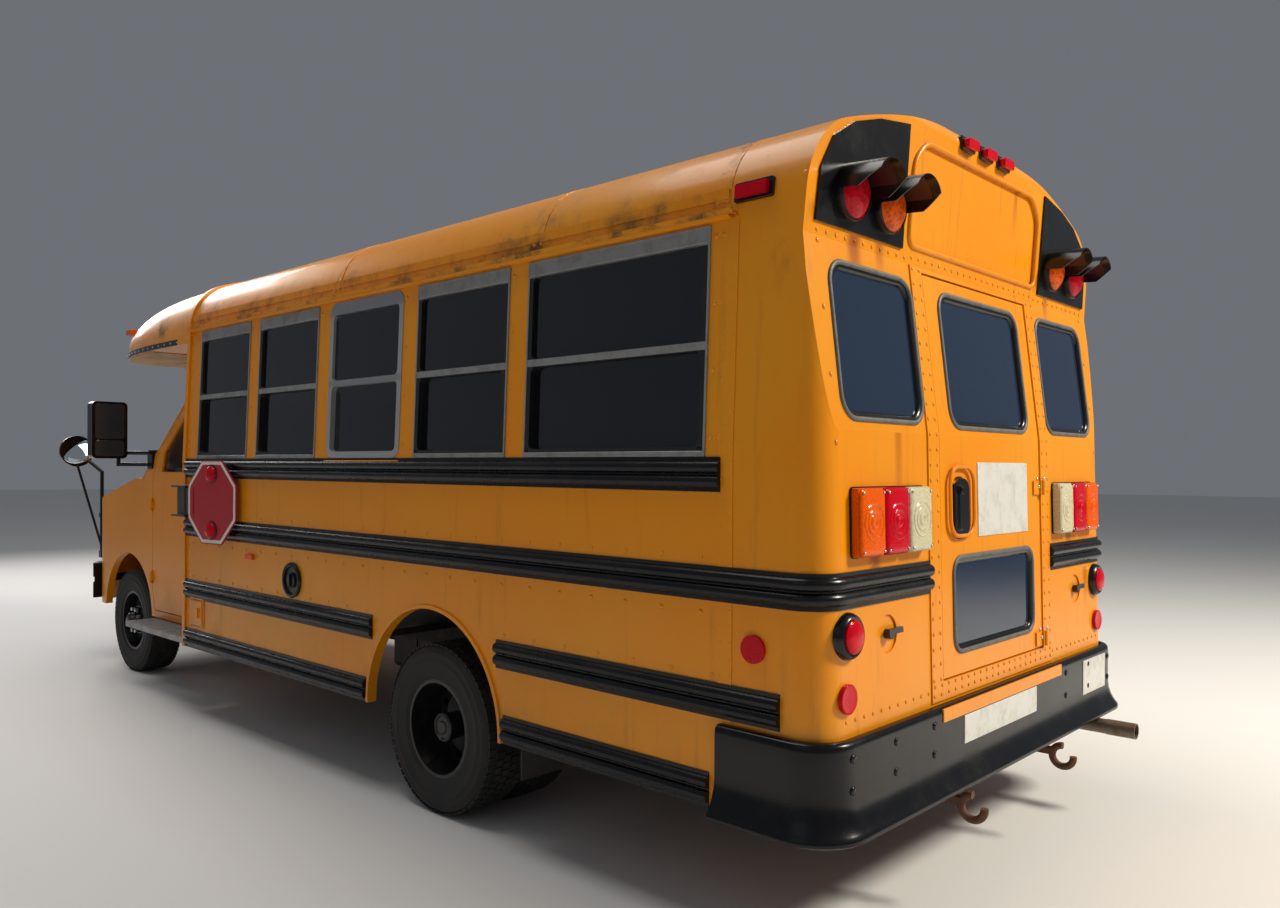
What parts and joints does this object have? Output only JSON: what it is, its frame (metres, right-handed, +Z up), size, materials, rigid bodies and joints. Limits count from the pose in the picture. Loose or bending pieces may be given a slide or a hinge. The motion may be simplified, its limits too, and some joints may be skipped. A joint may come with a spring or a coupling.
{
  "type": "short school bus",
  "caption": "Small yellow school bus: a van cab and chassis with a square riveted passenger body, rear emergency door, side sash windows and a folding stop sign.",
  "frame": {"origin": "on the ground under the middle of the overall box", "axes": "+X forward, +Y to the bus's left side, +Z up"},
  "size_m": [7.156, 2.69, 2.777],
  "materials": {
    "body_paint": "school bus yellow, faded, mildew streaks on the roof",
    "cap_paint": "yellow gel coat, chalky",
    "rail_black": "black enamel, scuffed on the ribs",
    "chassis": "black chassis paint with road dirt and rust",
    "iron": "dark cast iron, oily",
    "pipe": "brown tarnished steel",
    "tank": "dark painted steel tank",
    "tyre": "worn black rubber with dust",
    "rim": "black painted steel wheel, chipped",
    "rubber": "black rubber",
    "seal": "grey weathered rubber gasket",
    "aluminium": "mill aluminium, oxidised",
    "dark_glass": "tinted safety glass, dusty",
    "clear_glass": "clear safety glass",
    "floor": "dark ribbed rubber on plywood",
    "lamp_lens": "red and amber moulded lenses",
    "head_lens": "clear moulded lens",
    "lamp_black": "matte black boards and hoods",
    "grille": "dark grey moulding",
    "dash": "grey grained plastic",
    "wheel_plastic": "black moulded rim",
    "seat_cover": "brown vinyl over foam",
    "seat_steel": "grey painted tube and angle",
    "sign": "red sheet sign, sun faded",
    "tread": "grey treaded step plate",
    "mirror_black": "black housings and tube",
    "hook": "rusted steel hook"
  },
  "bodies": {
    "bus": {"frame_rails": "chassis", "engine_block": "iron", "fuel_tank": "tank", "exhaust": "pipe", "front_suspension": "chassis", "rear_axle": "chassis", "mud_flaps": "rubber", "tow_hooks": "hook", "side_wall_left": "body_paint", "side_wall_right": "body_paint", "roof": "body_paint", "rear_wall": "body_paint", "front_wall": "body_paint", "front_cap": "cap_paint", "bus_floor": "floor", "rub_rails": "rail_black", "window_frames": "aluminium", "window_glass": "dark_glass", "rear_seals": "seal", "rear_bumper": "rail_black", "cab_shell": "body_paint", "grille": "grille", "headlamps": "head_lens", "front_bumper": "rail_black", "windscreen": "clear_glass", "dashboard": "dash", "seats": "seat_cover", "seat_frames": "seat_steel", "entry_frame": "body_paint", "running_board": "tread", "mirrors": "mirror_black", "warning_lamps": "lamp_lens", "lamp_panels": "lamp_black", "small_lamps": "lamp_lens", "fittings": "body_paint"},
    "knuckle_left": {"knuckle_left": "iron"},
    "knuckle_right": {"knuckle_right": "iron"},
    "wheel_front_left": {"tyre_front_left": "tyre", "rim_front_left": "rim"},
    "wheel_front_right": {"tyre_front_right": "tyre", "rim_front_right": "rim"},
    "wheels_rear_left": {"tyres_rear_left": "tyre", "rims_rear_left": "rim"},
    "wheels_rear_right": {"tyres_rear_right": "tyre", "rims_rear_right": "rim"},
    "steering_wheel": {"steering_wheel": "wheel_plastic"},
    "cab_door": {"cab_door_left": "body_paint", "cab_door_glass": "clear_glass"},
    "hood": {"hood": "body_paint"},
    "entry_leaf_rear": {"entry_leaf_rear": "body_paint", "entry_glass_rear": "clear_glass"},
    "entry_leaf_front": {"entry_leaf_front": "body_paint", "entry_glass_front": "clear_glass"},
    "emergency_door": {"emergency_door": "body_paint", "emergency_seals": "seal", "emergency_glass": "dark_glass"},
    "stop_arm": {"stop_arm": "sign"}
  },
  "joints": [
    {"name": "steer_left", "type": "hinge", "parent": "bus", "child": "knuckle_left", "pos_m": [2.651, 0.7, 0.368], "axis": [0, 0, 1], "range_deg": [-35, 35]},
    {"name": "steer_right", "type": "hinge", "parent": "bus", "child": "knuckle_right", "pos_m": [2.651, -0.7, 0.368], "axis": [0, 0, 1], "range_deg": [-35, 35]},
    {"name": "steering_wheel_turn", "type": "hinge", "parent": "bus", "child": "steering_wheel", "pos_m": [1.992, 0.42, 1.33], "axis": [-0.8, 0, 0.6], "range_deg": [-425, 425]},
    {"name": "spin_front_left", "type": "hinge", "parent": "knuckle_left", "child": "wheel_front_left", "pos_m": [2.651, 0.87, 0.368], "axis": [0, 1, 0], "continuous": true},
    {"name": "spin_front_right", "type": "hinge", "parent": "knuckle_right", "child": "wheel_front_right", "pos_m": [2.651, -0.87, 0.368], "axis": [0, 1, 0], "continuous": true},
    {"name": "spin_rear_left", "type": "hinge", "parent": "bus", "child": "wheels_rear_left", "pos_m": [-1.388, 0.946, 0.368], "axis": [0, 1, 0], "continuous": true},
    {"name": "spin_rear_right", "type": "hinge", "parent": "bus", "child": "wheels_rear_right", "pos_m": [-1.388, -0.946, 0.368], "axis": [0, 1, 0], "continuous": true},
    {"name": "cab_door_hinge", "type": "hinge", "parent": "bus", "child": "cab_door", "pos_m": [2.205, 1.015, 1.1], "axis": [0, 0, -1], "range_deg": [0, 70]},
    {"name": "hood_hinge", "type": "hinge", "parent": "bus", "child": "hood", "pos_m": [2.524, 0, 1.402], "axis": [0, -1, 0], "range_deg": [0, 50]},
    {"name": "entry_rear_hinge", "type": "hinge", "parent": "bus", "child": "entry_leaf_rear", "pos_m": [1.19, -1.126, 1.3], "axis": [0, 0, -1], "range_deg": [0, 90]},
    {"name": "entry_front_hinge", "type": "hinge", "parent": "bus", "child": "entry_leaf_front", "pos_m": [1.819, -1.126, 1.3], "axis": [0, 0, 1], "range_deg": [0, 90]},
    {"name": "emergency_door_hinge", "type": "hinge", "parent": "bus", "child": "emergency_door", "pos_m": [-3.35805, -0.45, 1.10039], "axis": [0.026, 0, 0.9997], "range_deg": [0, 110]},
    {"name": "stop_arm_hinge", "type": "hinge", "parent": "bus", "child": "stop_arm", "pos_m": [0.874, 1.322, 1.29], "axis": [0, 0, -1], "range_deg": [0, 90]}
  ],
  "couplings": [
    {"joint": "steer_right", "follows": "steer_left", "ratio": 1},
    {"joint": "steering_wheel_turn", "follows": "steer_left", "ratio": 12}
  ]
}
